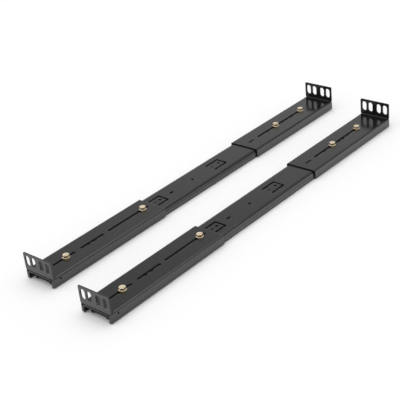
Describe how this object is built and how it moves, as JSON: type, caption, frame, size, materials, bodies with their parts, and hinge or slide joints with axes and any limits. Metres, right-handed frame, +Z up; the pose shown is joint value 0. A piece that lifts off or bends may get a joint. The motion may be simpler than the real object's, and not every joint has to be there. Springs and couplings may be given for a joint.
{
  "type": "sliding server rail pair",
  "caption": "Pair of full-extension ball-bearing server rails with sliding C-channel brackets, slotted rack flanges and clamp nuts.",
  "frame": {"origin": "centre of the pair's footprint on the floor, with the rails lying web up as pictured", "axes": "+X along the rails from the rack's front to its rear, +Y across from the right rail to the left rail, +Z up from the floor"},
  "size_m": [0.545, 0.1436, 0.0332],
  "materials": {
    "black_coat": "satin black powder coat",
    "black_slide": "satin black electrocoat",
    "zinc_steel": "bright zinc plate",
    "yellow_zinc": "yellow zinc plate",
    "ball_steel": "polished",
    "black_rubber": "matte",
    "lever_plastic": "moulded matte"
  },
  "bodies": {
    "outer_members": {"left_outer_member": "black_slide", "left_clamp_screws": "yellow_zinc", "left_flat_washers": "yellow_zinc", "left_hex_nuts": "yellow_zinc", "left_rear_bumper": "black_rubber", "right_outer_member": "black_slide", "right_clamp_screws": "yellow_zinc", "right_flat_washers": "yellow_zinc", "right_hex_nuts": "yellow_zinc", "right_rear_bumper": "black_rubber"},
    "left_front_bracket": {"left_front_bracket": "black_coat"},
    "left_rear_bracket": {"left_rear_bracket": "black_coat"},
    "left_middle_slide": {"left_middle_member": "black_slide"},
    "left_inner_slide": {"left_inner_member": "black_slide", "left_lever_rivet": "zinc_steel"},
    "left_outer_ball_cage": {"left_outer_ball_retainer": "zinc_steel", "left_outer_balls": "ball_steel"},
    "left_inner_ball_cage": {"left_inner_ball_retainer": "zinc_steel", "left_inner_balls": "ball_steel"},
    "left_release_lever": {"left_release_lever": "lever_plastic"},
    "right_front_bracket": {"right_front_bracket": "black_coat"},
    "right_rear_bracket": {"right_rear_bracket": "black_coat"},
    "right_middle_slide": {"right_middle_member": "black_slide"},
    "right_inner_slide": {"right_inner_member": "black_slide", "right_lever_rivet": "zinc_steel"},
    "right_outer_ball_cage": {"right_outer_ball_retainer": "zinc_steel", "right_outer_balls": "ball_steel"},
    "right_inner_ball_cage": {"right_inner_ball_retainer": "zinc_steel", "right_inner_balls": "ball_steel"},
    "right_release_lever": {"right_release_lever": "lever_plastic"}
  },
  "joints": [
    {"name": "left_front_bracket_adjust", "type": "slide", "parent": "outer_members", "child": "left_front_bracket", "axis": [-1, 0, 0], "range_m": [-0.0175, 0.007]},
    {"name": "left_rear_bracket_adjust", "type": "slide", "parent": "outer_members", "child": "left_rear_bracket", "axis": [1, 0, 0], "range_m": [-0.0045, 0.0375]},
    {"name": "left_middle_extend", "type": "slide", "parent": "outer_members", "child": "left_middle_slide", "axis": [-1, 0, 0], "range_m": [0, 0.25]},
    {"name": "left_inner_extend", "type": "slide", "parent": "left_middle_slide", "child": "left_inner_slide", "axis": [-1, 0, 0], "range_m": [0, 0.25]},
    {"name": "left_outer_cage_roll", "type": "slide", "parent": "outer_members", "child": "left_outer_ball_cage", "axis": [-1, 0, 0], "range_m": [0, 0.125]},
    {"name": "left_inner_cage_roll", "type": "slide", "parent": "left_middle_slide", "child": "left_inner_ball_cage", "axis": [-1, 0, 0], "range_m": [0, 0.125]},
    {"name": "left_lever_press", "type": "hinge", "parent": "left_inner_slide", "child": "left_release_lever", "pos_m": [-0.0445, 0.05, 0.0032], "axis": [0, 0, -1], "range_deg": [0, 6], "stiffness_Nm_per_rad": 0.05},
    {"name": "right_front_bracket_adjust", "type": "slide", "parent": "outer_members", "child": "right_front_bracket", "axis": [-1, 0, 0], "range_m": [-0.0175, 0.007]},
    {"name": "right_rear_bracket_adjust", "type": "slide", "parent": "outer_members", "child": "right_rear_bracket", "axis": [1, 0, 0], "range_m": [-0.0045, 0.0375]},
    {"name": "right_middle_extend", "type": "slide", "parent": "outer_members", "child": "right_middle_slide", "axis": [-1, 0, 0], "range_m": [0, 0.25]},
    {"name": "right_inner_extend", "type": "slide", "parent": "right_middle_slide", "child": "right_inner_slide", "axis": [-1, 0, 0], "range_m": [0, 0.25]},
    {"name": "right_outer_cage_roll", "type": "slide", "parent": "outer_members", "child": "right_outer_ball_cage", "axis": [-1, 0, 0], "range_m": [0, 0.125]},
    {"name": "right_inner_cage_roll", "type": "slide", "parent": "right_middle_slide", "child": "right_inner_ball_cage", "axis": [-1, 0, 0], "range_m": [0, 0.125]},
    {"name": "right_lever_press", "type": "hinge", "parent": "right_inner_slide", "child": "right_release_lever", "pos_m": [-0.0575, -0.05, 0.0032], "axis": [0, 0, -1], "range_deg": [0, 6], "stiffness_Nm_per_rad": 0.05}
  ],
  "couplings": [
    {"joint": "left_outer_cage_roll", "follows": "left_middle_extend", "ratio": 0.5},
    {"joint": "left_inner_cage_roll", "follows": "left_inner_extend", "ratio": 0.5},
    {"joint": "right_outer_cage_roll", "follows": "right_middle_extend", "ratio": 0.5},
    {"joint": "right_inner_cage_roll", "follows": "right_inner_extend", "ratio": 0.5}
  ]
}
